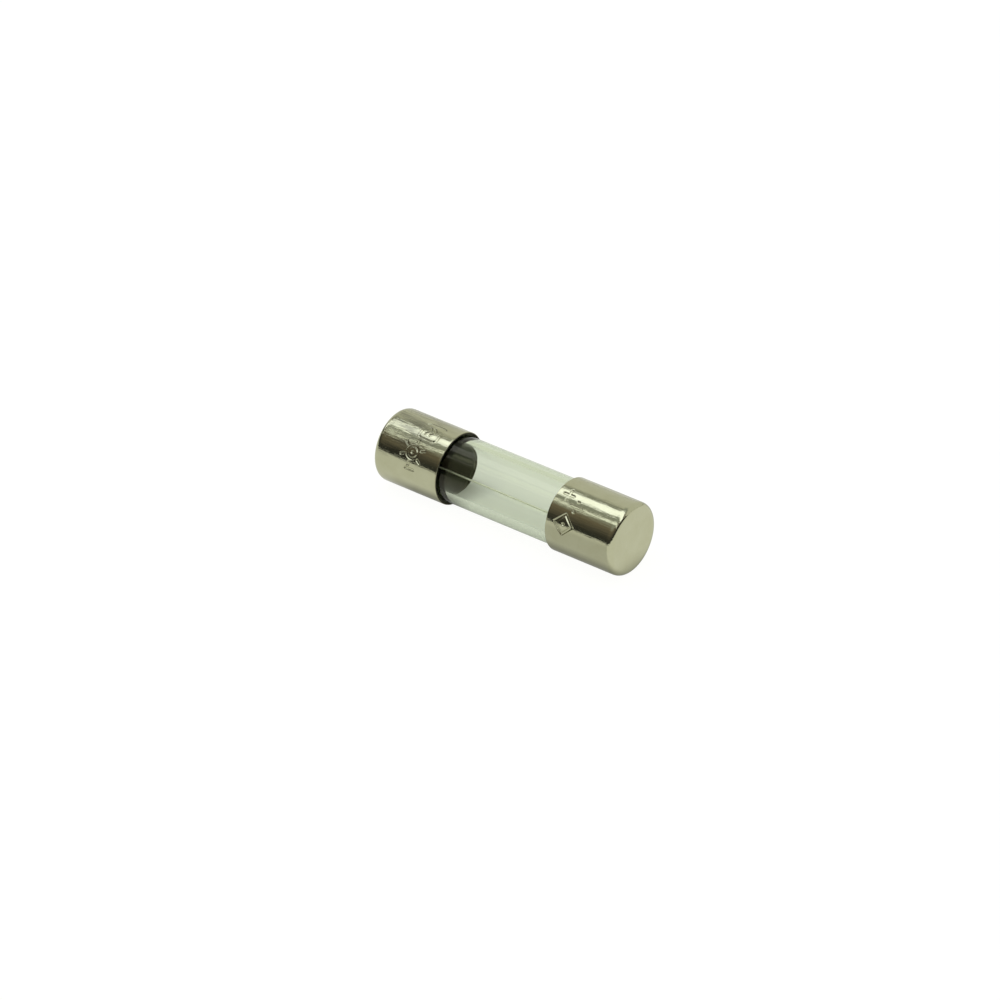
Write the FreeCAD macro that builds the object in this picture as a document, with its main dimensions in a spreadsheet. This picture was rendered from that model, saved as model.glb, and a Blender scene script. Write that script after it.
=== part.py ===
# Glass cartridge fuse, 5 x 20 mm: a glass tube closed by two drawn metal end caps, with a fusible
# wire stretched between them. Each cap holds a pool of solder that joins it to the wire, and a thin
# sleeve of cement that bonds it to the tube.
#
# Frame: X runs along the fuse, Z is up, and the origin is at the middle of the tube's axis.
# The left pieces lie towards -X and the right pieces towards +X. Lengths are in millimetres.
import FreeCAD, Part

import math
import os

import Sketcher

# ---------------------------------------------------------------------------------------------
# Driving dimensions

SIZES = [
    ("overall_length", 20.0, "over the two caps' flat ends"),
    ("cap_diameter", 5.2, "outside of a cap, which the fuse clips grip"),
    ("cap_length", 5.4, "from a cap's flat end to its rim"),
    ("cap_wall", 0.15, "drawn wall of a cap"),
    ("cap_floor", 0.25, "flat end of a cap"),
    ("cap_corner", 0.45, "outer radius between a cap's end and its wall"),
    ("smallest_corner", 0.05, "least radius inside a cap's corner"),
    ("rim_rounding", 0.06, "radius on both edges of a cap's rim"),
    ("cement_gap", 0.1, "radial clearance between the tube and a cap"),
    ("cement_recess", 0.1, "from a cap's rim to the edge of its cement"),
    ("tube_wall", 0.55, "thickness of the glass"),
    ("tube_rounding", 0.12, "fire-polished edges of the tube"),
    ("solder_land", 0.2, "solder between the tube's end and the corner inside a cap"),
    ("solder_dome", 0.3, "height of the solder that stands in the tube's bore"),
    ("wire_diameter", 0.12, "fusible wire"),
    ("wire_side", -0.2, "the wire's plane, along Y from the axis"),
    ("wire_left_drop", 0.34, "the wire's left end, below the axis"),
    ("wire_right_drop", 0.48, "the wire's right end, below the axis"),
    ("wire_bend", 0.22, "centreline radius where the wire turns down behind the tube's end"),
    ("wire_hook_inset", 0.25, "from the tube's outside up to the wire's tip"),
]

# Places and sizes that follow from them, as expressions on the sheet
HALF_LENGTH = "(sizes.overall_length / 2)"
CAP_RADIUS = "(sizes.cap_diameter / 2)"
CAP_BORE_RADIUS = f"({CAP_RADIUS} - sizes.cap_wall)"
CAP_INNER_CORNER = "max(sizes.cap_corner - sizes.cap_wall; sizes.smallest_corner)"
CAP_RIM = f"({HALF_LENGTH} - sizes.cap_length)"
CAP_FLOOR = f"({HALF_LENGTH} - sizes.cap_floor)"
TUBE_RADIUS = f"({CAP_BORE_RADIUS} - sizes.cement_gap)"
TUBE_BORE_RADIUS = f"({TUBE_RADIUS} - sizes.tube_wall)"
TUBE_END = f"({CAP_FLOOR} - {CAP_INNER_CORNER} - sizes.solder_land)"
SOLDER_TOP = f"({TUBE_END} - sizes.solder_dome)"
CEMENT_EDGE = f"({CAP_RIM} + sizes.cement_recess)"
WIRE_HOOK = f"({TUBE_END} + sizes.solder_land / 2)"
WIRE_TIP = f"({TUBE_RADIUS} - sizes.wire_hook_inset)"

SIDES = (("left", -1), ("right", 1))
FULL_TURN = 360
EDGE_MATCH = 1e-4  # how closely an edge's place has to agree with the one that is looked for

doc = FreeCAD.newDocument("cartridge_fuse")


def make_size_sheet():
    """One row for each driving dimension: its name, its value and what it measures."""
    sheet = doc.addObject("Spreadsheet::Sheet", "sizes")
    for row, (alias, value, meaning) in enumerate(SIZES, start=1):
        sheet.set(f"A{row}", alias)
        sheet.set(f"B{row}", str(value))
        sheet.set(f"C{row}", meaning)
        sheet.setAlias(f"B{row}", alias)
    doc.recompute()
    return sheet


sizes = make_size_sheet()


def value(expression):
    """The present value of an expression on the sheet, as a plain number."""
    return float(sizes.evalExpression(expression))


# ---------------------------------------------------------------------------------------------
# Sketches and features that several pieces use


def new_body(label):
    body = doc.addObject("PartDesign::Body", label)
    body.Label = label
    return body


def sketch_on(body, role, name):
    """An empty sketch on one of the body's own origin planes."""
    plane = next(f for f in body.Origin.OriginFeatures if f.Role == role)
    sketch = body.newObject("Sketcher::SketchObject", name)
    sketch.AttachmentSupport = [(plane, "")]
    sketch.MapMode = "FlatFace"
    return sketch


def bind(sketch, kind, first, second, expression, name):
    """A dimension between two points of a sketch, each (geometry, point), that follows the sheet."""
    index = sketch.addConstraint(Sketcher.Constraint(kind, *first, *second, value(expression)))
    sketch.renameConstraint(index, name)
    sketch.setExpression(f"Constraints.{name}", expression)


ORIGIN = (-1, 1)
HORIZONTAL_AXIS = -1
START, END, CENTRE = 1, 2, 3


def place_point(sketch, point, along, out, name):
    """Ties a sketch point to the expressions for its place along the axis and its radius."""
    bind(sketch, "DistanceX", ORIGIN, point, along, f"{name}_along")
    if out is None:
        sketch.addConstraint(Sketcher.Constraint("PointOnObject", *point, HORIZONTAL_AXIS))
    else:
        bind(sketch, "DistanceY", ORIGIN, point, out, f"{name}_radius")


def corner_vector(along, out):
    return FreeCAD.Vector(value(along), value(out) if out else 0, 0)


def closed_profile(body, name, corners):
    """A closed outline of straight edges. A corner is (name, place along X, radius or None)."""
    sketch = sketch_on(body, "XZ_Plane", name)
    count = len(corners)
    for i in range(count):
        here, there = corners[i], corners[(i + 1) % count]
        sketch.addGeometry(
            Part.LineSegment(corner_vector(*here[1:]), corner_vector(*there[1:])), False
        )
    for i in range(count):
        sketch.addConstraint(Sketcher.Constraint("Coincident", i, END, (i + 1) % count, START))
    for i, (label, along, out) in enumerate(corners):
        place_point(sketch, (i, START), along, out, label)
    return sketch


def revolve(body, name, sketch):
    """The sketch turned once round the fuse's axis."""
    turned = body.newObject("PartDesign::Revolution", name)
    turned.Profile = sketch
    turned.ReferenceAxis = (sketch, ["H_Axis"])
    turned.Angle = FULL_TURN
    doc.recompute()
    return turned


def round_edges(body, name, base, rings, radius):
    """Fillets the circular edges that lie at rings of (place along X, radius)."""
    found = []
    for along, out in rings:
        for number, edge in enumerate(base.Shape.Edges, start=1):
            if edge.Degenerated or not isinstance(edge.Curve, Part.Circle):
                continue
            if (
                abs(edge.Curve.Radius - value(out)) < EDGE_MATCH
                and abs(edge.Curve.Center.x - value(along)) < EDGE_MATCH
            ):
                found.append(f"Edge{number}")
    if len(found) != len(rings):
        raise RuntimeError(f"{name} found {len(found)} edges and needs {len(rings)}")
    fillet = body.newObject("PartDesign::Fillet", name)
    fillet.Base = (base, found)
    fillet.setExpression("Radius", radius)
    doc.recompute()
    body.Tip = fillet
    return fillet


# ---------------------------------------------------------------------------------------------
# Glass tube


def make_glass_tube():
    """Plain round tube with fire-polished ends."""
    body = new_body("glass_tube")
    left_end = f"-{TUBE_END}"
    profile = closed_profile(
        body,
        "tube_profile",
        [
            ("left_bore", left_end, TUBE_BORE_RADIUS),
            ("left_outside", left_end, TUBE_RADIUS),
            ("right_outside", TUBE_END, TUBE_RADIUS),
            ("right_bore", TUBE_END, TUBE_BORE_RADIUS),
        ],
    )
    turned = revolve(body, "tube_revolution", profile)
    ends = [(end, r) for end in (left_end, TUBE_END) for r in (TUBE_RADIUS, TUBE_BORE_RADIUS)]
    round_edges(body, "tube_polish", turned, ends, "sizes.tube_rounding")
    return body


# ---------------------------------------------------------------------------------------------
# End caps


def make_end_cap(side, sign):
    """Drawn cup: flat end, rounded corner of even thickness, straight wall and a softened rim."""
    body = new_body(f"{side}_end_cap")
    outer_end = f"{sign} * {HALF_LENGTH}"
    inner_end = f"{sign} * {CAP_FLOOR}"
    rim = f"{sign} * {CAP_RIM}"
    profile = closed_profile(
        body,
        f"{side}_cap_profile",
        [
            ("end_centre", outer_end, None),
            ("end_corner", outer_end, CAP_RADIUS),
            ("rim_outside", rim, CAP_RADIUS),
            ("rim_inside", rim, CAP_BORE_RADIUS),
            ("floor_corner", inner_end, CAP_BORE_RADIUS),
            ("floor_centre", inner_end, None),
        ],
    )
    cup = revolve(body, f"{side}_cap_revolution", profile)
    outer = round_edges(
        body, f"{side}_cap_corner", cup, [(outer_end, CAP_RADIUS)], "sizes.cap_corner"
    )
    inner = round_edges(
        body, f"{side}_cap_inner_corner", outer, [(inner_end, CAP_BORE_RADIUS)], CAP_INNER_CORNER
    )
    rim_edges = [(rim, CAP_RADIUS), (rim, CAP_BORE_RADIUS)]
    round_edges(body, f"{side}_cap_rim", inner, rim_edges, "sizes.rim_rounding")
    return body


# ---------------------------------------------------------------------------------------------
# Fusible wire


def make_fuse_wire():
    """Straight run through the tube, turned down at both ends into the gap behind the glass."""
    body = new_body("fuse_wire")
    hook, tip, bend = value(WIRE_HOOK), value(WIRE_TIP), value("sizes.wire_bend")
    left_drop, right_drop = value("sizes.wire_left_drop"), value("sizes.wire_right_drop")

    path = sketch_on(body, "XZ_Plane", "wire_path")
    path.setExpression("AttachmentOffset.Base.z", "-sizes.wire_side")
    points = [
        FreeCAD.Vector(-hook, -tip, 0),
        FreeCAD.Vector(-hook, -left_drop - bend, 0),
        FreeCAD.Vector(-hook + bend, -left_drop, 0),
        FreeCAD.Vector(hook - bend, -right_drop, 0),
        FreeCAD.Vector(hook, -right_drop - bend, 0),
        FreeCAD.Vector(hook, -tip, 0),
    ]
    middle = bend * math.sqrt(0.5)  # the middle of a quarter turn, from its centre
    left_middle = FreeCAD.Vector(-hook + bend - middle, -left_drop - bend + middle, 0)
    right_middle = FreeCAD.Vector(hook - bend + middle, -right_drop - bend + middle, 0)
    left_hook = path.addGeometry(Part.LineSegment(points[0], points[1]), False)
    left_bend = path.addGeometry(Part.Arc(points[1], left_middle, points[2]), False)
    run = path.addGeometry(Part.LineSegment(points[2], points[3]), False)
    right_bend = path.addGeometry(Part.Arc(points[3], right_middle, points[4]), False)
    right_hook = path.addGeometry(Part.LineSegment(points[4], points[5]), False)

    # A three-point arc is stored anticlockwise, so both bends start at their right-hand end.
    for arc_end, line_end in (
        ((left_bend, END), (left_hook, END)),
        ((left_bend, START), (run, START)),
        ((right_bend, END), (run, END)),
        ((right_bend, START), (right_hook, START)),
    ):
        path.addConstraint(Sketcher.Constraint("Tangent", *arc_end, *line_end))
    for line in (left_hook, right_hook):
        path.addConstraint(Sketcher.Constraint("Vertical", line))
    for arc, name in ((left_bend, "left_bend"), (right_bend, "right_bend")):
        index = path.addConstraint(Sketcher.Constraint("Radius", arc, bend))
        path.renameConstraint(index, name)
        path.setExpression(f"Constraints.{name}", "sizes.wire_bend")
    place_point(path, (left_hook, START), f"-{WIRE_HOOK}", f"-{WIRE_TIP}", "left_tip")
    place_point(path, (right_hook, END), WIRE_HOOK, f"-{WIRE_TIP}", "right_tip")
    bind(path, "DistanceY", ORIGIN, (run, START), "-sizes.wire_left_drop", "left_drop")
    bind(path, "DistanceY", ORIGIN, (run, END), "-sizes.wire_right_drop", "right_drop")

    section = sketch_on(body, "XY_Plane", "wire_section")
    section.setExpression("AttachmentOffset.Base.z", f"-{WIRE_TIP}")
    centre = FreeCAD.Vector(-hook, value("sizes.wire_side"), 0)
    up = FreeCAD.Vector(0, 0, 1)
    circle = section.addGeometry(Part.Circle(centre, up, value("sizes.wire_diameter / 2")), False)
    index = section.addConstraint(
        Sketcher.Constraint("Radius", circle, value("sizes.wire_diameter / 2"))
    )
    section.renameConstraint(index, "wire_radius")
    section.setExpression("Constraints.wire_radius", "sizes.wire_diameter / 2")
    bind(section, "DistanceX", ORIGIN, (circle, CENTRE), f"-{WIRE_HOOK}", "wire_start")
    bind(section, "DistanceY", ORIGIN, (circle, CENTRE), "sizes.wire_side", "wire_plane")
    doc.recompute()

    sweep = body.newObject("PartDesign::AdditivePipe", "wire_sweep")
    sweep.Profile = section
    sweep.Spine = path
    doc.recompute()
    return body


# ---------------------------------------------------------------------------------------------
# Solder


def matching_ends(sketch, arc, corner):
    """Which end of a stored arc lies at the corner, and which is the other one."""
    at_corner = sketch.getPoint(arc, START).distanceToPoint(corner_vector(*corner[1:]))
    return (START, END) if at_corner < EDGE_MATCH else (END, START)


def make_solder(side, sign, wire):
    """Pool that fills a cap's end, stands as a low dome in the bore and grips the wire's hook."""
    pool = new_body(f"{side}_solder_pool")
    floor = f"{sign} * {CAP_FLOOR}"
    tube_end = f"{sign} * {TUBE_END}"
    top = f"{sign} * {SOLDER_TOP}"
    corners = [
        ("floor_centre", floor, None),
        ("floor_corner", floor, CAP_BORE_RADIUS),
        ("wall_edge", tube_end, CAP_BORE_RADIUS),
        ("bore_edge", tube_end, TUBE_BORE_RADIUS),
    ]
    sketch = sketch_on(pool, "XZ_Plane", f"{side}_solder_profile")
    for here, there in zip(corners, corners[1:]):
        sketch.addGeometry(
            Part.LineSegment(corner_vector(*here[1:]), corner_vector(*there[1:])), False
        )
    last_line = len(corners) - 2

    # The dome is the arc through the bore's edge whose top lies on the axis, square to it.
    bore, rise = value(TUBE_BORE_RADIUS), value("sizes.solder_dome")
    dome_radius = (bore**2 + rise**2) / (2 * rise)
    dome_centre = sign * (value(SOLDER_TOP) + dome_radius)
    half_way = FreeCAD.Vector(
        dome_centre - sign * (dome_radius**2 - bore**2 / 4) ** 0.5, bore / 2, 0
    )
    dome = sketch.addGeometry(
        Part.Arc(corner_vector(*corners[-1][1:]), half_way, corner_vector(top, None)), False
    )
    axis = sketch.addGeometry(
        Part.LineSegment(corner_vector(top, None), corner_vector(*corners[0][1:])), False
    )
    edge_point, top_point = matching_ends(sketch, dome, corners[-1])
    for i in range(last_line):
        sketch.addConstraint(Sketcher.Constraint("Coincident", i, END, i + 1, START))
    sketch.addConstraint(Sketcher.Constraint("Coincident", last_line, END, dome, edge_point))
    sketch.addConstraint(Sketcher.Constraint("Coincident", dome, top_point, axis, START))
    sketch.addConstraint(Sketcher.Constraint("Coincident", axis, END, 0, START))
    sketch.addConstraint(Sketcher.Constraint("PointOnObject", dome, CENTRE, HORIZONTAL_AXIS))
    for i, (label, along, out) in enumerate(corners[:-1]):
        place_point(sketch, (i, START), along, out, label)
    place_point(sketch, (last_line, END), *corners[-1][1:], corners[-1][0])
    place_point(sketch, (axis, START), top, None, "dome_top")

    turned = revolve(pool, f"{side}_solder_revolution", sketch)
    round_edges(
        pool, f"{side}_solder_corner", turned, [(floor, CAP_BORE_RADIUS)], CAP_INNER_CORNER
    )
    solder = doc.addObject("Part::Cut", f"{side}_solder")
    solder.Base = pool
    solder.Tool = wire
    solder.Label = f"{side}_solder"
    return solder


# ---------------------------------------------------------------------------------------------
# Cement


def make_cement(side, sign):
    """Thin sleeve between the glass and a cap's wall, held back a little from the rim."""
    body = new_body(f"{side}_cement")
    inner_end = f"{sign} * {TUBE_END}"
    outer_end = f"{sign} * {CEMENT_EDGE}"
    profile = closed_profile(
        body,
        f"{side}_cement_profile",
        [
            ("deep_inside", inner_end, TUBE_RADIUS),
            ("deep_outside", inner_end, CAP_BORE_RADIUS),
            ("edge_outside", outer_end, CAP_BORE_RADIUS),
            ("edge_inside", outer_end, TUBE_RADIUS),
        ],
    )
    revolve(body, f"{side}_cement_revolution", profile)
    return body


# ---------------------------------------------------------------------------------------------
# Assembly


def check(pieces):
    """Stops the build if a feature failed or a piece isn't one or more sound solids."""
    for item in doc.Objects:
        if {"Invalid", "Error"} & set(item.State):
            raise RuntimeError(f"{item.Name} failed: {item.State}")
    for piece in pieces:
        shape = piece.Shape
        if shape.isNull() or not shape.isValid() or not shape.Solids:
            raise RuntimeError(f"{piece.Label} has no sound solid")


def main():
    wire = make_fuse_wire()
    pieces = [make_glass_tube(), wire]
    for side, sign in SIDES:
        pieces += [
            make_end_cap(side, sign),
            make_solder(side, sign, wire),
            make_cement(side, sign),
        ]
    doc.recompute()
    check(pieces)
    os.makedirs("parts", exist_ok=True)
    for piece in pieces:
        piece.Shape.exportStep(os.path.join("parts", f"{piece.Label}.step"))
        print(f"{piece.Label}: {piece.Shape.Volume:.3f} mm3")


main()
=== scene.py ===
import math

import bpy
import numpy as np
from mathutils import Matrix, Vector, noise


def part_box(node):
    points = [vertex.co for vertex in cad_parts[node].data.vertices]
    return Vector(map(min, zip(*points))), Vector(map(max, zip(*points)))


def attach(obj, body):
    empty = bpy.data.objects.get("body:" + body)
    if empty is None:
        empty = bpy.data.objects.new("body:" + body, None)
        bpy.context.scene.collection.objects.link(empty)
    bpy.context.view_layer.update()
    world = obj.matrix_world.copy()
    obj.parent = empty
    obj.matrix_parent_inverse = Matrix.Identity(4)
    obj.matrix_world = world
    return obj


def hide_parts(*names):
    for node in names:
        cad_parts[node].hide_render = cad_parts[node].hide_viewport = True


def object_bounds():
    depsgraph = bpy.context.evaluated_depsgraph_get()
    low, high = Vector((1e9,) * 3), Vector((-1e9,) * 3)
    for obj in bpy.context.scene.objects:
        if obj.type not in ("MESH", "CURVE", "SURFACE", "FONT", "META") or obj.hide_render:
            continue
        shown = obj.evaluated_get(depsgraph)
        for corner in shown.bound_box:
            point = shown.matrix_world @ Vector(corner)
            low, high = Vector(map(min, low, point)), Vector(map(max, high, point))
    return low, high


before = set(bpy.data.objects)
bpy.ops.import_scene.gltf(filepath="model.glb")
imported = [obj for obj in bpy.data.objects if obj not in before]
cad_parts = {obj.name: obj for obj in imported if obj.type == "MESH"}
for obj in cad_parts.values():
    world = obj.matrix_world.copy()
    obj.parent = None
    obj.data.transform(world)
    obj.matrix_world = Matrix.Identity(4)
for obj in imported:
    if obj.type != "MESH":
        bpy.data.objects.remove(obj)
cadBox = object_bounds()
mm = 0.001
mergeDistance = 1e-4 * mm
hair = 0.002                # left between a filling and what holds it
touch = 0.01                # what is nearer to a surface than this is on it
middle = (0.3, 0.7)         # where most of a noise's values lie
print("frame loaded:", ", ".join(sorted(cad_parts)))


def deselect():
    if bpy.context.object and bpy.context.object.mode != "OBJECT":
        bpy.ops.object.mode_set(mode="OBJECT")
    bpy.ops.object.select_all(action="DESELECT")


def pick(piece):
    deselect()
    piece.select_set(True)
    bpy.context.view_layer.objects.active = piece


def startRing(name, place, radius, segments, fill="NOTHING"):
    # a circle round the fuse's axis, left in edit mode with its open loop selected
    deselect()
    bpy.ops.mesh.primitive_circle_add(
        vertices=segments, radius=radius * mm, fill_type=fill,
        location=(place * mm, 0, 0), rotation=(0, math.pi / 2, 0))
    piece = bpy.context.active_object
    piece.name = piece.data.name = name
    bpy.ops.object.transform_apply(location=True, rotation=True, scale=True)
    bpy.ops.object.mode_set(mode="EDIT")
    bpy.ops.mesh.select_all(action="SELECT")
    if fill != "NOTHING":
        bpy.ops.mesh.region_to_loop()
    return piece


def drawOut(rings):
    # the selected loop is extruded from ring to ring, each (place along X, radius)
    for (place, radius), (nextPlace, nextRadius) in zip(rings, rings[1:]):
        bpy.ops.mesh.extrude_edges_move(
            TRANSFORM_OT_translate={"value": ((nextPlace - place) * mm, 0, 0)})
        scale = nextRadius / radius
        bpy.ops.transform.resize(value=(1, scale, scale), center_override=(0, 0, 0))


def closeUp(pole=False):
    # the last loop becomes a pole, or meets the first one; then the faces are turned outwards
    if pole:
        bpy.ops.mesh.merge(type="CENTER")
    bpy.ops.mesh.select_all(action="SELECT")
    bpy.ops.mesh.remove_doubles(threshold=mergeDistance)
    bpy.ops.mesh.normals_make_consistent(inside=False)
    bpy.ops.object.mode_set(mode="OBJECT")
    bpy.ops.object.shade_smooth()


def arc(centre, radius, start, end, steps):
    # ring places on a quarter round; angles in degrees from the radial direction
    turns = np.radians(np.linspace(start, end, steps))
    return [(centre[0] + radius * math.sin(t), centre[1] + radius * math.cos(t)) for t in turns]


def innerLip(edge, bore, rounding, steps, inwards):
    # the inner half of a rounded edge, from its outermost ring round to the bore;
    # inwards is the way along X from the edge into the piece, 1 or -1
    turns = np.radians(np.linspace(0, 90, steps))
    return [(edge + inwards * rounding * (1 - math.cos(t)), bore + rounding * (1 - math.sin(t)))
            for t in turns]


def extent(node):
    # how far from the middle a node starts and ends along X, and its radius
    low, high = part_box(node)
    return min(abs(low.x), abs(high.x)) / mm, max(abs(low.x), abs(high.x)) / mm, high.z / mm


def points(piece):
    flat = np.empty(len(piece.data.vertices) * 3)
    piece.data.vertices.foreach_get("co", flat)
    return flat.reshape(-1, 3) / mm


def setPoints(piece, places):
    piece.data.vertices.foreach_set("co", (places * mm).ravel())
    piece.data.update()


def pickFaces(piece, wanted):
    # leaves edit mode on, with the wanted faces selected and nothing else
    pick(piece)
    bpy.ops.object.mode_set(mode="EDIT")
    bpy.ops.mesh.select_mode(type="FACE")
    bpy.ops.mesh.select_all(action="DESELECT")
    bpy.ops.object.mode_set(mode="OBJECT")
    piece.data.polygons.foreach_set("select", wanted)
    bpy.ops.object.mode_set(mode="EDIT")


def paintGroup(piece, name, weights):
    # a vertex group from one weight for each vertex
    group = piece.vertex_groups.new(name=name)
    levels = np.round(weights, 2)
    for level in np.unique(levels[levels > 0]):
        group.add(np.flatnonzero(levels == level).tolist(), float(level), "REPLACE")


def pushIn(piece, group, depth, cloudSize=None):
    # sinks the painted area by a depth, or by up to that depth where clouds are given
    pick(piece)
    push = piece.modifiers.new("push", "DISPLACE")
    push.vertex_group = group
    push.strength = -depth * mm
    push.mid_level = 0
    if cloudSize:
        clouds = bpy.data.textures.new(piece.name + "Clouds", "CLOUDS")
        clouds.noise_scale = cloudSize * mm
        clouds.noise_depth = 1
        push.texture = clouds
        push.texture_coords = "LOCAL"
    bpy.ops.object.modifier_apply(modifier=push.name)


class Value:
    # a socket's output that sums and products can be written with
    def __init__(self, paint, socket):
        self.paint, self.socket = paint, socket

    def maths(self, operation, other=0.0):
        made = self.paint.node("ShaderNodeMath", {"operation": operation}, {0: self, 1: other})
        return made["Value"]

    def __add__(self, other):
        return self.maths("ADD", other)

    def __mul__(self, other):
        return self.maths("MULTIPLY", other)

    __radd__ = __add__
    __rmul__ = __mul__


colourA, colourB = 6, 7     # a Mix node's two colour sockets


class Paint:
    # the nodes of a material or of the world
    def __init__(self, holder):
        self.holder = holder
        holder.use_nodes = True
        self.tree = holder.node_tree
        self.tree.nodes.clear()

    def node(self, kind, settings=None, sockets=None):
        # settings first, then the sockets' values or links; gives the outputs by name
        made = self.tree.nodes.new(kind)
        for key, setting in (settings or {}).items():
            if key == "stops":
                ramp = made.color_ramp
                while len(ramp.elements) < len(setting):
                    ramp.elements.new(0.5)
                for element, (position, rgb) in zip(ramp.elements, setting):
                    element.position, element.color = position, (*rgb, 1)
            else:
                setattr(made, key, setting)
        for key, value in (sockets or {}).items():
            if isinstance(value, Value):
                self.tree.links.new(value.socket, made.inputs[key])
            elif made.inputs[key].type == "RGBA":
                made.inputs[key].default_value = (*value, 1)
            else:
                made.inputs[key].default_value = value
        return {out.name: Value(self, out) for out in made.outputs if out.enabled}

    def inMillimetres(self, stretch=(1, 1, 1)):
        # Object coordinates in millimetres, stretched along an axis where its number is small
        place = self.node("ShaderNodeTexCoord")["Object"]
        scale = tuple(s / mm for s in stretch)
        return self.node("ShaderNodeMapping", {}, {"Vector": place, "Scale": scale})["Vector"]

    def noise(self, scale, detail, roughness, distortion=0.0, stretch=(1, 1, 1)):
        # scale: swings in a millimetre
        return self.node("ShaderNodeTexNoise", {}, {
            "Vector": self.inMillimetres(stretch), "Scale": scale, "Detail": detail,
            "Roughness": roughness, "Distortion": distortion})["Fac"]

    def grey(self, value, low, high):
        # spreads the part of a value between low and high over nought to one
        return self.node("ShaderNodeMapRange", {}, {
            "Value": value, "From Min": low, "From Max": high})["Result"]

    def split(self, vector):
        return self.node("ShaderNodeSeparateXYZ", {}, {"Vector": vector})

    def mix(self, amount, first, second):
        made = self.node("ShaderNodeMix", {"data_type": "RGBA"}, {
            "Factor": amount, colourA: first, colourB: second})
        return made["Result"]

    def bump(self, height, depth, under=None):
        # under: the bumps that these come on top of
        sockets = {"Height": height, "Distance": depth * mm, "Strength": 1.0}
        if under:
            sockets["Normal"] = under
        return self.node("ShaderNodeBump", {}, sockets)["Normal"]

    def glow(self, light, base=(0, 0, 0)):
        # a dull surface that gives off light of its own
        return self.finish({
            "Base Color": base, "Roughness": 0.9, "Specular IOR Level": 0.0,
            "Emission Color": light, "Emission Strength": 1.0})

    def finish(self, sockets, inside=None):
        # inside: the colour and density of what the light crosses under the surface
        ends = {"Surface": self.node("ShaderNodeBsdfPrincipled", {}, sockets)["BSDF"]}
        if inside:
            ends["Volume"] = self.node("ShaderNodeVolumeAbsorption", {}, inside)["Volume"]
        self.node("ShaderNodeOutputMaterial", {}, ends)
        return self.holder


def startPaint(name):
    return Paint(bpy.data.materials.new(name))


def dress(piece, material):
    piece.data.materials.clear()
    piece.data.materials.append(material)


cap = {
    "segments": 240,
    "inset": 0.001,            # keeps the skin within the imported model's box
    "corner": 0.45,
    "cornerSteps": 10,
    "endDish": 0.012,          # the flat end is pressed in a little
    "endPole": 0.15,
    "endRings": 14,
    "wallRow": 0.075,
    "rimRounding": 0.06,
    "rimSteps": 5,
    "boreRings": 8,
    "innerCornerSteps": 6,
    "backPole": 0.2,
    "backRings": 6,
    "waviness": 0.006,         # unevenness left by drawing and tumbling
    "wavinessSize": 0.9,
    "skin": 0.1,               # from the bore out, what waves
    "stampDepth": 0.07,
    "stampHalfWidth": 0.085,
    "stampSoftness": 1.5,      # the slope's outer edge, in half widths
    "stampSize": 1.25,
    "stampMargin": 0.12,
    "stampCuts": 4,
}


def outline(corners, radius):
    turns = [2 * math.pi * n / corners for n in range(corners + 1)]
    return [(radius * math.cos(t), radius * math.sin(t)) for t in turns]


# Stamped marks, plain shapes with no meaning: the place is (mm from the cap's end,
# degrees up from the side), and a stroke is a line through points, along and round.
roundedBox = [(-0.46, -0.58), (-0.58, -0.46), (-0.58, 0.46), (-0.46, 0.58), (0.46, 0.58),
              (0.58, 0.46), (0.58, -0.46), (0.46, -0.58), (-0.46, -0.58)]
chevrons = [[(-0.24, -0.24), (-0.04, 0.0), (-0.24, 0.24)],
            [(0.06, -0.24), (0.26, 0.0), (0.06, 0.24)]]
rays = [[(r * math.cos(t), r * math.sin(t)) for r in (0.54, 0.74)]
        for t in (0.4, 1.45, 2.5, 3.54, 4.59, 5.64)]
dot = [(-0.02, 0.0), (0.02, 0.0)]
plus = [[(-0.3, 0.0), (0.3, 0.0)], [(0.0, -0.3), (0.0, 0.3)]]
barAndDots = [[(-0.34, 0.0), (0.34, 0.0)], [(0.0, 0.3), (0.02, 0.3)], [(0.0, -0.3), (0.02, -0.3)]]
shortBar = [(-0.26, 0.0), (0.26, 0.0)]
stamps = {
    "left": [
        {"place": (3.6, 76), "strokes": [roundedBox] + chevrons},
        {"place": (3.1, 35), "strokes": [outline(24, 0.36), dot] + rays},
        {"place": (3.15, 9), "strokes": [shortBar]},
    ],
    "right": [
        {"place": (4.0, 21), "strokes": [outline(4, 0.56), dot]},
        {"place": (3.55, 52), "strokes": barAndDots},
        {"place": (4.5, 66), "strokes": plus},
    ],
}


def strokeDistance(along, around, stroke):
    # how far each point is from a stroke
    nearest = np.full(len(along), math.inf)
    for (u0, v0), (u1, v1) in zip(stroke, stroke[1:]):
        du, dv = u1 - u0, v1 - v0
        share = np.clip(((along - u0) * du + (around - v0) * dv) / (du * du + dv * dv), 0, 1)
        nearest = np.minimum(nearest, np.hypot(along - u0 - share * du, around - v0 - share * dv))
    return nearest


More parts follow.
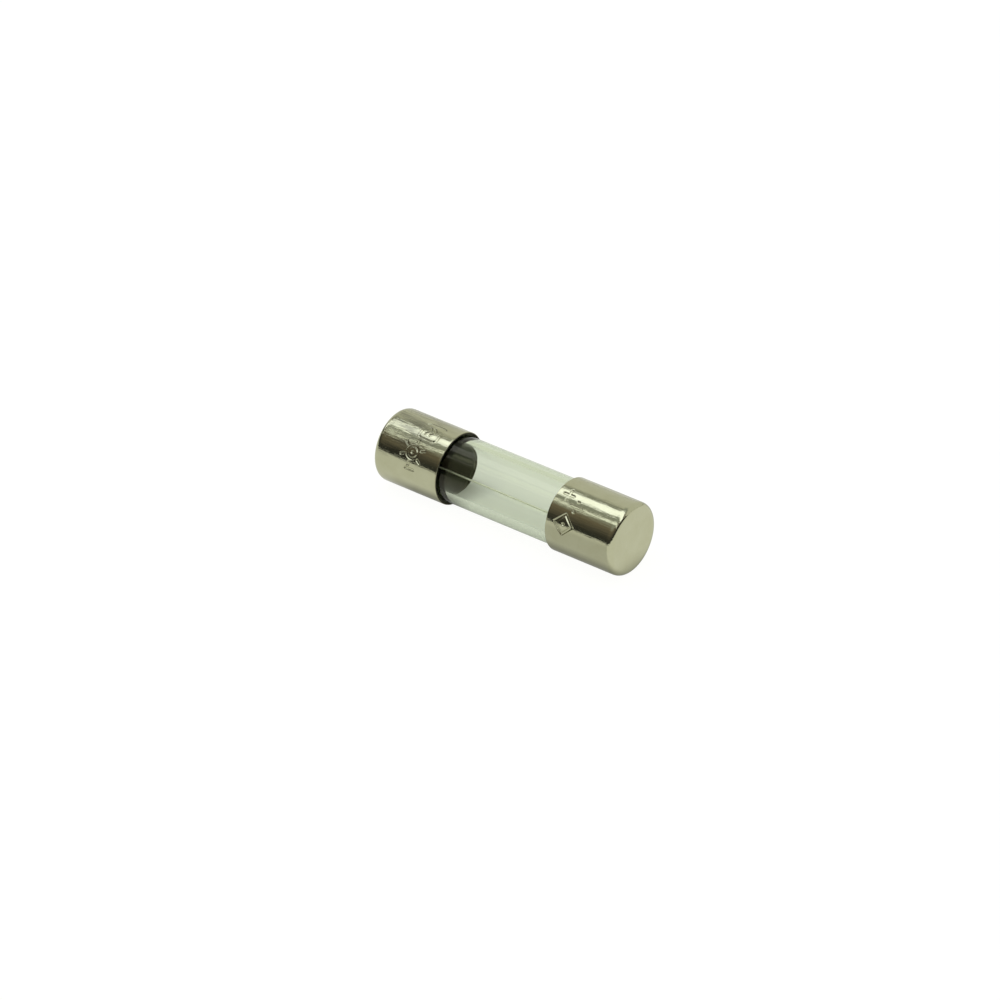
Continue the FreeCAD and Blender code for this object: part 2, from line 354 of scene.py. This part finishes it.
def capRings(rim, end, radius, floor, bore):
    # from the middle of the flat end out, along the wall, round the rim and back inside
    corner, rounding = cap["corner"], cap["rimRounding"]
    flat, inner = radius - corner, corner - (radius - bore)
    dish = cap["endDish"]
    endFace = [(end - dish * math.cos(math.pi / 2 * r / flat), r)
               for r in np.linspace(cap["endPole"], flat, cap["endRings"])]
    outerCorner = arc((end - corner, flat), corner, 90, 0, cap["cornerSteps"])
    rows = int((end - corner - rim) / cap["wallRow"])
    wall = [(x, radius) for x in np.linspace(end - corner, rim + rounding, rows)]
    rimOuter = arc((rim + rounding, radius - rounding), rounding, 0, -90, cap["rimSteps"])
    rimInner = innerLip(rim, bore, rounding, cap["rimSteps"], 1)
    inside = [(x, bore) for x in np.linspace(rim + rounding, floor - inner, cap["boreRings"])]
    innerCorner = arc((floor - inner, bore - inner), inner, 0, 90, cap["innerCornerSteps"])
    back = [(floor, r) for r in np.linspace(bore - inner, cap["backPole"], cap["backRings"])]
    return (endFace + outerCorner[1:] + wall[1:] + rimOuter[1:] + rimInner + inside[1:]
            + innerCorner[1:] + back[1:])


def makeCap(side, sign):
    rim, end, radius = extent(side + "_end_cap")
    end -= cap["inset"]
    radius = min(radius, -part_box(side + "_end_cap")[0].z / mm)
    floor, bore = extent(side + "_solder")[1], extent(side + "_cement")[2]
    rings = [(sign * x, r) for x, r in capRings(rim, end, radius, floor, bore)]
    piece = startRing(side + "_cap_shell", *rings[0], cap["segments"], fill="TRIFAN")
    drawOut(rings)
    closeUp(pole=True)

    # finer faces where the marks go, laid back on the round wall
    size = cap["stampSize"]
    marks = [(sign * (end - mark["place"][0]), math.radians(mark["place"][1]),
              [[(u * size, v * size) for u, v in stroke] for stroke in mark["strokes"]])
             for mark in stamps[side]]
    wanted = np.zeros(len(piece.data.polygons), bool)
    for x, turn, strokes in marks:
        reach = max(abs(v) for stroke in strokes for point in stroke for v in point)
        span = reach + cap["stampMargin"]
        for n, face in enumerate(piece.data.polygons):
            place = face.center / mm
            around = math.atan2(place.z, -place.y) - turn
            wanted[n] |= (abs(place.x - x) < span and abs(around * radius) < span
                          and math.hypot(place.y, place.z) > (radius + bore) / 2)
    pickFaces(piece, wanted)
    bpy.ops.mesh.subdivide(number_cuts=cap["stampCuts"])
    bpy.ops.mesh.select_face_by_sides(number=4, type="GREATER", extend=False)
    bpy.ops.mesh.poke()
    bpy.ops.object.mode_set(mode="OBJECT")
    places = points(piece)
    out, along = np.hypot(places[:, 1], places[:, 2]), abs(places[:, 0])
    straight = (along > rim + cap["rimRounding"]) & (along < end - cap["corner"])
    onWall = straight & (out > radius - touch)
    places[onWall, 1:] *= (radius / out[onWall])[:, None]
    setPoints(piece, places)

    weights = np.zeros(len(places))
    soft, halfWidth = cap["stampSoftness"], cap["stampHalfWidth"]
    for x, turn, strokes in marks:
        along = places[:, 0] - x
        around = (np.arctan2(places[:, 2], -places[:, 1]) - turn) * radius
        for stroke in strokes:
            near = 1 - strokeDistance(along, around, stroke) / (halfWidth * soft)
            near = np.clip(near * soft, 0, 1) * onWall
            weights = np.maximum(weights, near * near * (3 - 2 * near))
    paintGroup(piece, "stamp", weights)
    paintGroup(piece, "skin", (out > bore + cap["skin"]).astype(float))
    pushIn(piece, "stamp", cap["stampDepth"])
    pushIn(piece, "skin", cap["waviness"], cap["wavinessSize"])
    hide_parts(side + "_end_cap")
    print(piece.name, "stamped,", len(piece.data.polygons), "faces")
    return piece


glass = {
    "segments": 256,
    "bore": 1.8,
    "rounding": 0.12,
    "roundingSteps": 6,
    "rows": 30,
    "boreRipple": 0.008,       # drawn glass varies in thickness round the tube, not along it
    # waves in a turn, and where they start
    "ripples": ((2, 0.4), (3, 2.1), (5, 1.0), (9, 4.0), (14, 5.2), (23, 0.8), (31, 3.3)),
    "rippleFade": 0.9,
    "bands": {"scale": 2.2, "detail": 2, "roughness": 0.4, "stretch": (0.02, 1, 1)},
    "tints": ((0.985, 0.99, 0.98), (0.965, 0.972, 0.96)),
    "refraction": 1.51,
    "shine": 0.3,
    "shineTint": (0.55, 0.54, 0.38),
    "depthTint": (0.5, 0.77, 0.12),
    "depth": 215.0,            # for each metre of glass
}


def makeTube():
    end, radius = extent("glass_tube")[1:]
    bore, rounding, steps = glass["bore"], glass["rounding"], glass["roundingSteps"]
    straight = end - rounding
    outside = [(x, radius) for x in np.linspace(-straight, straight, glass["rows"])]
    rightOuter = arc((straight, radius - rounding), rounding, 0, 90, steps)
    rightInner = innerLip(end, bore, rounding, steps, -1)
    inside = [(x, bore) for x in np.linspace(straight, -straight, glass["rows"])]
    leftInner = [(-x, r) for x, r in reversed(rightInner)]
    leftOuter = [(-x, r) for x, r in reversed(rightOuter)]
    rings = outside + rightOuter[1:] + rightInner + inside[1:] + leftInner[1:] + leftOuter
    piece = startRing("drawn_glass_tube", *rings[0], glass["segments"])
    drawOut(rings)
    closeUp()

    places = points(piece)
    out, turn = np.hypot(places[:, 1], places[:, 2]), np.arctan2(places[:, 2], places[:, 1])
    ripple = sum(np.cos(waves * turn + phase) / waves ** glass["rippleFade"]
                 for waves, phase in glass["ripples"])
    inner = out < (bore + radius) / 2
    places[inner, 1:] *= (1 - glass["boreRipple"] * ripple[inner] / out[inner])[:, None]
    setPoints(piece, places)
    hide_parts("glass_tube")
    print(piece.name, "drawn,", len(piece.data.polygons), "faces")
    return piece


wire = {
    "radius": 0.06,
    "side": -0.2,
    "ends": {"left": -0.34, "right": -0.48},   # height of the straight run at its ends
    "behindGlass": 0.1,
    "tip": -2.09,
    "bend": 0.22,
    "hookReach": 0.4,          # handles along the upright ends
    "tipReach": 0.1,
    "curveSteps": 16,
    "roundSteps": 6,
    "mottle": {"scale": 3, "detail": 3, "roughness": 0.6},
    "mottleSpread": (0.4, 0.75),
    "tones": ((0.95, 0.96, 0.85), (0.76, 0.76, 0.63)),
    "grain": {"scale": 30, "detail": 3, "roughness": 0.6, "stretch": (0.4, 1, 1)},
    "grainDepth": 0.0006,
    "metallic": 0.35,
    "rough": (0.3, 0.1),
}
quarterTurn = 0.5523           # handle length for a quarter circle of radius 1


def makeWire():
    hook = extent("glass_tube")[1] + wire["behindGlass"]
    bend, side, tip = wire["bend"], wire["side"], wire["tip"]
    left, right = wire["ends"]["left"], wire["ends"]["right"]
    reach, up, down = bend * quarterTurn, wire["hookReach"], wire["tipReach"]
    run = (hook - bend) / 3
    knots = [
        # place, handle before, handle after
        ((-hook, tip), (-hook, tip - down), (-hook, tip + up)),
        ((-hook, left - bend), (-hook, left - bend - up), (-hook, left - bend + reach)),
        ((-hook + bend, left), (-hook + bend - reach, left), (-run, (left * 2 + right) / 3)),
        ((hook - bend, right), (run, (left + right * 2) / 3), (hook - bend + reach, right)),
        ((hook, right - bend), (hook, right - bend + reach), (hook, right - bend - up)),
        ((hook, tip), (hook, tip + up), (hook, tip - down)),
    ]
    deselect()
    bpy.ops.curve.primitive_bezier_curve_add(location=(0, 0, 0))
    path = bpy.context.active_object
    line = path.data.splines[0]
    line.bezier_points.add(len(knots) - 2)
    for knot, (place, before, after) in zip(line.bezier_points, knots):
        knot.handle_left_type = knot.handle_right_type = "FREE"
        knot.co, knot.handle_left, knot.handle_right = (
            Vector((x * mm, side * mm, z * mm)) for x, z in (place, before, after))
    path.data.resolution_u = wire["curveSteps"]
    path.data.bevel_depth = wire["radius"] * mm
    path.data.bevel_resolution = wire["roundSteps"]
    path.data.use_fill_caps = True
    bpy.ops.object.convert(target="MESH")
    piece = bpy.context.active_object
    piece.name = piece.data.name = "drawn_fuse_wire"
    bpy.ops.object.mode_set(mode="EDIT")
    closeUp()
    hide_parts("fuse_wire")
    print(piece.name, "strung,", len(piece.data.polygons), "faces")
    return piece


solder = {
    "segments": 160,
    "surface": 0.06,           # the middle of the pool, in from its node's highest place
    "hollow": 0.1,             # how much lower it lies near the glass
    "edge": 0.3,               # width of what turns up there
    "edgeStart": 0.1,
    "climbs": 0.16,            # up the glass
    "pole": 0.04,
    "poolRings": 26,
    "edgeRings": 8,
    "cornerSteps": 6,
    "backPole": 1.0,
    "cone": 0.3,               # up the wire
    "coneSpread": 0.16,
    "lumps": 0.03,
    "lumpScale": 1.6,
    "mottle": {"scale": 7, "detail": 4, "roughness": 0.6, "distortion": 0.5},
    "mottleSpread": (0.35, 0.7),
    "mottleDepth": 0.02,
    "tones": ((0.42, 0.42, 0.38), (0.27, 0.27, 0.24)),
    "grain": {"scale": 30, "detail": 2, "roughness": 0.6},
    "grainDepth": 0.004,
    "metallic": 1.0,
    "rough": (0.38, 0.2),
}


def makeSolder(side, sign):
    top, floor, radius = extent(side + "_solder")
    land, bore = extent("glass_tube")[1], glass["bore"]
    inner = cap["corner"] - (extent(side + "_end_cap")[2] - radius)
    edge, surface, hollow = solder["edge"], solder["surface"], solder["hollow"]
    pool = [(top + surface + hollow * (r / bore) ** 2, r)
            for r in np.linspace(solder["pole"], bore - edge, solder["poolRings"])]
    climb = [(top + surface + hollow - solder["climbs"] * t ** 3, bore - edge * (1 - t) - hair)
             for t in np.linspace(solder["edgeStart"], 1, solder["edgeRings"])]
    wall = radius - hair
    rest = [(land - hair, bore - hair), (land - hair, wall), (floor - inner, wall)]
    rest += arc((floor - inner, radius - inner), inner - hair, 0, 90, solder["cornerSteps"])[1:]
    rest.append((floor - hair, solder["backPole"]))
    rings = [(sign * x, r) for x, r in pool + climb + rest]
    piece = startRing(side + "_solder_pool", *rings[0], solder["segments"], fill="TRIFAN")
    drawOut(rings)
    closeUp(pole=True)

    places = points(piece)
    away = np.hypot(places[:, 1] - wire["side"], places[:, 2] - wire["ends"][side])
    out = np.hypot(places[:, 1], places[:, 2])
    onTop = (abs(places[:, 0]) < land - touch) & (out < bore - 2 * touch)
    lumps = np.array([noise.noise(Vector(p) * solder["lumpScale"]) for p in places])
    rise = solder["cone"] * np.exp(-away / solder["coneSpread"]) + solder["lumps"] * lumps
    places[onTop, 0] -= sign * rise[onTop]
    setPoints(piece, places)
    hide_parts(side + "_solder")
    print(piece.name, "poured,", len(piece.data.polygons), "faces")
    return piece


cement = {
    "segments": 200,
    "grip": 0.004,             # the sleeve wets the glass, so it lies a hair inside its surface
    "edgeBack": 0.02,
    "edgeRise": 0.012,
    "sleeveStart": 0.1,
    "sleeveRings": 30,
    "endGap": 0.13,            # short of the tube's rounded end
    "backRings": 12,
    "edgeWave": 0.08,
    "waves": 2.0,
    "waveSlice": 3.0,          # where in the noise each side takes its wave
    "mottle": {"scale": 1.4, "detail": 3, "roughness": 0.6},
    "mottleSpread": (0.35, 0.7),
    "tones": ((0.042, 0.042, 0.028), (0.062, 0.062, 0.043)),
    "fleck": (0.1, 0.1, 0.085),
    "fleckSpread": (0.55, 0.8),
    "fleckShare": 0.5,
    "grain": {"scale": 16, "detail": 4, "roughness": 0.7},
    "grainDepth": 0.012,
    "metallic": 0.0,
    "rough": (0.75, 0.2),
}


def makeCement(side, sign):
    edge, deep, outer = extent(side + "_cement")
    outer -= hair
    inner = extent("glass_tube")[2] - cement["grip"]
    back, rise = cement["edgeBack"], cement["edgeRise"]
    deep -= cement["endGap"]
    front = [(edge + back, outer), (edge, outer - rise),
             (edge, inner + rise), (edge + back, inner)]
    sleeve = [(x, inner)
              for x in np.linspace(edge + cement["sleeveStart"], deep, cement["sleeveRings"])]
    wall = [(x, outer) for x in np.linspace(deep, edge + back, cement["backRings"])]
    rings = [(sign * x, r) for x, r in front + sleeve + wall]
    piece = startRing(side + "_cement_line", *rings[0], cement["segments"])
    drawOut(rings)
    closeUp()

    places = points(piece)
    waves, height = cement["waves"], sign * cement["waveSlice"]
    wave = np.array([noise.noise(Vector((math.cos(t) * waves, math.sin(t) * waves, height)))
                     for t in np.arctan2(places[:, 2], places[:, 1])])
    nearEdge = np.clip(1 - (abs(places[:, 0]) - edge), 0, 1)
    places[:, 0] += sign * cement["edgeWave"] * wave * nearEdge
    setPoints(piece, places)
    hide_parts(side + "_cement")
    print(piece.name, "laid,", len(piece.data.polygons), "faces")
    return piece


nickel = {
    "blotches": {"scale": 0.9, "detail": 4, "roughness": 0.6},
    "streaks": {"scale": 8, "detail": 3, "roughness": 0.6, "stretch": (0.07, 1, 1)},
    "scratches": {"scale": 26, "detail": 2, "roughness": 0.6, "distortion": 0.4,
                  "stretch": (0.05, 1, 1)},
    "specks": {"scale": 14, "detail": 2, "roughness": 0.5},
    "scuffs": {"scale": 2.4, "detail": 4, "roughness": 0.65, "distortion": 0.4,
               "stretch": (0.16, 1, 1)},
    "tumbling": {"scale": 2.6, "detail": 3, "roughness": 0.6, "distortion": 0.5,
                 "stretch": (0.3, 1, 1)},
    "tones": ((0.555, 0.56, 0.378), (0.52, 0.522, 0.34)),
    "toneSpread": (0.35, 0.7),
    "speck": (0.38, 0.36, 0.22),
    "speckSpread": (0.66, 0.8),
    "speckShare": 0.35,
    "scuffed": (0.26, 0.26, 0.185),
    "scuffSpread": (0.4, 0.6),
    "scuffShare": 0.8,
    # the dark of the sheared edge and the lining: partly unplated metal, partly painted shade in
    # the gap between cap and glass
    "bareAndShaded": (0.075, 0.066, 0.045),
    # the least roughness, and what the others add to it
    "rough": {"least": 0.05, "streaks": 0.07, "blotches": 0.04, "bareAndShaded": 0.4, "worn": 0.03,
              "tumbled": 0.12},
    "streakSpread": (0.3, 0.75),
    "blotchSpread": (0.4, 0.75),
    # the next ones run from where a part starts to where it is full: from the rim along the
    # cap, or in from its wall
    "shearedAlong": (0.045, 0.02),
    "shearedIn": (0.02, 0.05),
    "liningAlong": (2, 0.02),
    "liningIn": (0.1, 0.13),
    "wallIn": (0.35, 0.05),
    # and these in the fuse's own X and Z
    "wornStart": (-4.4, -7.6),
    "wornEnd": (-9.8, -9.4),
    "wornTop": (0.5, 1.4),
    "bumps": {"blotches": 0.007, "tumbling": 0.026, "streaks": 0.008, "scratches": 0.0006},
}


def nickelFinish(rim, wallRadius):
    paint = startPaint("nickel plate")
    blotches, streaks, scratches, specks, scuffs, tumbling = (
        paint.noise(**nickel[name])
        for name in ("blotches", "streaks", "scratches", "specks", "scuffs", "tumbling"))
    place = paint.split(paint.inMillimetres())
    along = place["X"].maths("ABSOLUTE")
    out = (place["Y"] * place["Y"] + place["Z"] * place["Z"]).maths("SQRT")

    def fromRim(start, full):
        return paint.grey(along, rim + start, rim + full)

    def fromWall(start, full):
        return paint.grey(out, wallRadius - start, wallRadius - full)

    # the sheared edge and the lining are dark: partly unplated metal, partly painted shade of the
    # gap between cap and glass
    sheared = fromRim(*nickel["shearedAlong"]) * fromWall(*nickel["shearedIn"])
    lining = fromWall(*nickel["liningIn"]) * fromRim(*nickel["liningAlong"])
    bareAndShaded = sheared.maths("MAXIMUM", lining)
    # one cap is scuffed and dull on top
    worn = paint.grey(place["X"], *nickel["wornStart"])
    worn = worn * paint.grey(place["Z"], *nickel["wornTop"])
    worn = worn * paint.grey(place["X"], *nickel["wornEnd"])
    tumbled = tumbling * worn

    specked = paint.grey(specks, *nickel["speckSpread"]) * nickel["speckShare"]
    scuffed = paint.grey(scuffs, *nickel["scuffSpread"]) * worn * nickel["scuffShare"]
    tone = paint.mix(paint.grey(blotches, *nickel["toneSpread"]), *nickel["tones"])
    tone = paint.mix(specked, tone, nickel["speck"])
    tone = paint.mix(scuffed, tone, nickel["scuffed"])
    # painted shade: the sheared edge and the lining darkened, partly for unplated metal
    tone = paint.mix(bareAndShaded, tone, nickel["bareAndShaded"])
    adds = nickel["rough"]
    rough = adds["least"] + paint.grey(streaks, *nickel["streakSpread"]) * adds["streaks"]
    rough = rough + paint.grey(blotches, *nickel["blotchSpread"]) * adds["blotches"]
    rough = rough + bareAndShaded * adds["bareAndShaded"] + worn * adds["worn"] + tumbled * adds["tumbled"]
    depths = nickel["bumps"]
    bumps = paint.bump(blotches, depths["blotches"])
    bumps = paint.bump(tumbled, depths["tumbling"], bumps)
    bumps = paint.bump(streaks * fromWall(*nickel["wallIn"]), depths["streaks"], bumps)
    bumps = paint.bump(scratches, depths["scratches"], bumps)
    return paint.finish({"Base Color": tone, "Metallic": 1.0, "Roughness": rough, "Normal": bumps})


def glassFinish():
    paint = startPaint("drawn glass")
    tint = paint.mix(paint.grey(paint.noise(**glass["bands"]), *middle), *glass["tints"])
    return paint.finish(
        {"Base Color": tint, "Roughness": 0.0, "IOR": glass["refraction"],
         "Specular IOR Level": glass["shine"], "Specular Tint": glass["shineTint"],
         "Transmission Weight": 1.0},
        {"Color": glass["depthTint"], "Density": glass["depth"]})


def grainyFinish(name, look):
    # a mottled tone, with a fine grain in its roughness and its bumps; rough in the look is
    # the least roughness, and how much the grain adds
    paint = startPaint(name)
    mottle, grain = paint.noise(**look["mottle"]), paint.noise(**look["grain"])
    tone = paint.mix(paint.grey(mottle, *look["mottleSpread"]), *look["tones"])
    if "fleck" in look:
        flecks = paint.grey(grain, *look["fleckSpread"]) * look["fleckShare"]
        tone = paint.mix(flecks, tone, look["fleck"])
    least, more = look["rough"]
    under = paint.bump(mottle, look["mottleDepth"]) if "mottleDepth" in look else None
    return paint.finish({
        "Base Color": tone, "Metallic": look["metallic"],
        "Roughness": least + paint.grey(grain, *middle) * more,
        "Normal": paint.bump(grain, look["grainDepth"], under)})


rightRim, _, capRadius = extent("right_end_cap")
plate = nickelFinish(rightRim, capRadius)
tin, putty = grainyFinish("dull solder", solder), grainyFinish("dark cement", cement)
pieces = []
for side, sign in (("left", -1), ("right", 1)):
    for made, finish, slot in (
            (makeCap(side, sign), plate, "nickel_plate"),
            (makeSolder(side, sign), tin, "solder"),
            (makeCement(side, sign), putty, "cement")):
        dress(made, finish)
        pieces.append(made)
for made, finish, slot in (
        (makeTube(), glassFinish(), "glass"),
        (makeWire(), grainyFinish("silvered wire", wire), "wire")):
    dress(made, finish)
    pieces.append(made)
for piece in pieces:
    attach(piece, "root")
print("fuse put together from", len(pieces), "pieces")


studio = {
    "floorGap": 0.01,
    # in metres from here on
    "floorSize": 1.7,
    "domeRadius": 0.8,
    "sheetDistance": 0.5,
    "sheetLength": 2.4,
    "sheetShift": -0.3,
    "lampPlace": (-0.1, -0.1, 0.5),
    "lampSize": 0.35,
    "lampPower": 0.6,          # watts
    # no lengths from here on: a share of the dome, and the light that surfaces give off
    "innerDome": 0.99,
    "shownFloor": (0.96, 0.96, 0.945),
    "shownFloorBase": (0.08, 0.08, 0.08),
    "shownDome": (1.0, 1.0, 0.99),
    "shadedDome": (0.68, 0.69, 0.6),
}

# Bright sheets that only show in reflections: the angle is up from the near side, over the
# fuse, and each is a strip along the fuse at that angle.
sheets = {
    "overhead_sheet": {"angle": 96, "width": 23, "glow": (1.75, 1.8, 1.98)},
    "side_strip": {"angle": 63, "width": 6, "glow": (1.45, 1.49, 1.52)},
    "far_sheet": {"angle": 150, "width": 58, "glow": (0.7, 0.7, 0.66)},
}

# The floor as metal and glass show it, with painted light and shade: it glows lighter at the left
# and past the right end, and has a painted shade close along the fuse. Places run from where a
# change starts to where it is full.
underfoot = {
    "mirrored_floor": {
        "left": (0.6, 0.6, 0.59), "right": (0.45, 0.45, 0.44), "between": (-7, 0),
        "past": (0.68, 0.68, 0.67), "pastStart": (9.8, 11.5), "base": (0.2, 0.2, 0.2),
        "shade": 0.6, "shadeWidth": (3.4, 2.0),
        "shadeStart": (-10.5, -7.5), "shadeEnd": (11, 9.5)},
    "shaded_floor": {
        "left": (0.47, 0.47, 0.46), "right": (0.47, 0.47, 0.46), "between": (-7, 0),
        "past": (0.47, 0.47, 0.46), "pastStart": (9.8, 11.5), "base": (0.33, 0.33, 0.32),
        "shade": 0.75, "shadeWidth": (3.2, 1.2),
        "shadeStart": (-11, -9.5), "shadeEnd": (-3.0, -4.8)},
}


def floorFinish(name):
    floor = underfoot[name]
    paint = startPaint(name.replace("_", " "))
    place = paint.split(paint.inMillimetres())

    def along(part):
        return paint.grey(place["X"], *floor[part])

    # painted light: the glow is set lighter or darker along X, to set how bright the metal mirrors
    # the floor
    tone = paint.mix(along("between"), floor["left"], floor["right"])
    tone = paint.mix(along("pastStart"), tone, floor["past"])
    # painted shade: a dark strip along the fuse that stands in for its contact shadow
    shade = paint.grey(place["Y"].maths("ABSOLUTE"), *floor["shadeWidth"])
    shade = shade * along("shadeStart") * along("shadeEnd") * floor["shade"]
    return paint.glow(paint.mix(shade, tone, (0, 0, 0)), floor["base"])


def onlyFor(piece, camera=False, glossy=False, diffuse=False, through=False):
    # which rays see a piece of the studio
    piece.visible_camera, piece.visible_glossy = camera, glossy
    piece.visible_diffuse, piece.visible_transmission = diffuse, through
    piece.visible_shadow = piece.visible_volume_scatter = False


def makeFloor(name, layer, material, **seenBy):
    # the floors lie under each other, so that no two share a place
    height = cadBox[0].z - layer * studio["floorGap"] * mm
    deselect()
    bpy.ops.mesh.primitive_plane_add(size=studio["floorSize"], location=(0, 0, height))
    floor = bpy.context.active_object
    floor.name = name
    dress(floor, material)
    onlyFor(floor, **seenBy)


def makeDome(name, size, light, **seenBy):
    deselect()
    bpy.ops.mesh.primitive_uv_sphere_add(
        segments=48, ring_count=24, radius=studio["domeRadius"] * size)
    dome = bpy.context.active_object
    dome.name = name
    dress(dome, startPaint(name.replace("_", " ")).glow(light))
    onlyFor(dome, **seenBy)


def makeSurroundings():
    # a bright floor and dome for the camera, greyer ones for soft light and behind the glass,
    # and one more floor for reflections
    shown = startPaint("shown floor").glow(studio["shownFloor"], studio["shownFloorBase"])
    makeFloor("shown_floor", 1, shown, camera=True)
    makeDome("shown_dome", 1.0, studio["shownDome"], camera=True)
    makeFloor("shaded_floor", 2, floorFinish("shaded_floor"), diffuse=True, through=True)
    makeDome("shaded_dome", studio["innerDome"], studio["shadedDome"], diffuse=True, through=True)
    makeFloor("mirrored_floor", 3, floorFinish("mirrored_floor"), glossy=True)


def makeSheets():
    distance = studio["sheetDistance"]
    for name, sheet in sheets.items():
        turn = math.radians(sheet["angle"])
        place = (studio["sheetShift"], -math.cos(turn) * distance, math.sin(turn) * distance)
        width = 2 * distance * math.tan(math.radians(sheet["width"] / 2))
        deselect()
        bpy.ops.mesh.primitive_plane_add(
            size=1, location=place, rotation=(math.pi / 2 - turn, 0, 0))
        made = bpy.context.active_object
        made.name = name
        made.scale = (studio["sheetLength"], width, 1)
        dress(made, startPaint(name.replace("_", " ")).glow(sheet["glow"]))
        onlyFor(made, glossy=True)


# what the metal sees between the sheets: a dim room, darkest underneath
room = [
    (0.0, (0.036, 0.038, 0.036)),
    (0.22, (0.05, 0.048, 0.042)),
    (0.42, (0.12, 0.105, 0.085)),
    (0.62, (0.2, 0.165, 0.125)),
    (0.72, (0.34, 0.34, 0.31)),
    (0.9, (0.38, 0.4, 0.39)),
]


def makeWorld():
    world = bpy.data.worlds.new("dim room")
    bpy.context.scene.world = world
    paint = Paint(world)
    height = paint.split(paint.node("ShaderNodeTexCoord")["Generated"])["Z"]
    light = paint.node("ShaderNodeValToRGB", {"stops": room}, {"Fac": height})["Color"]
    sky = paint.node("ShaderNodeBackground", {}, {"Color": light})["Background"]
    paint.node("ShaderNodeOutputWorld", {}, {"Surface": sky})


def makeLamp():
    deselect()
    bpy.ops.object.light_add(type="AREA", location=studio["lampPlace"])
    lamp = bpy.context.active_object
    lamp.name = "soft_lamp"
    lamp.data.shape = "SQUARE"
    lamp.data.size = studio["lampSize"]
    lamp.data.energy = studio["lampPower"]
    lamp.rotation_euler = Vector(lamp.location).to_track_quat("Z", "Y").to_euler()
    lamp.visible_glossy = False


camera = {
    "azimuth": 37.65,          # degrees from the near side
    "elevation": 32.3,
    "distance": 0.426,         # metres
    "lens": 229.7,
    "sensor": 36,
    "shift": (-0.01326, -0.00892),
    "clipStart": 0.01,         # metres
}


def makeCamera():
    turn, lift = math.radians(camera["azimuth"]), math.radians(camera["elevation"])
    level = math.cos(lift)
    back = Vector((math.sin(turn) * level, -math.cos(turn) * level, math.sin(lift)))
    deselect()
    bpy.ops.object.camera_add(location=back * camera["distance"])
    made = bpy.context.active_object
    made.rotation_euler = (-back).to_track_quat("-Z", "Y").to_euler()
    made.data.sensor_width, made.data.lens = camera["sensor"], camera["lens"]
    made.data.shift_x, made.data.shift_y = camera["shift"]
    made.data.clip_start = camera["clipStart"]
    bpy.context.scene.camera = made


makeSurroundings()
makeSheets()
makeWorld()
makeLamp()
makeCamera()
bpy.context.scene.view_settings.view_transform = "Standard"
print("studio ready")
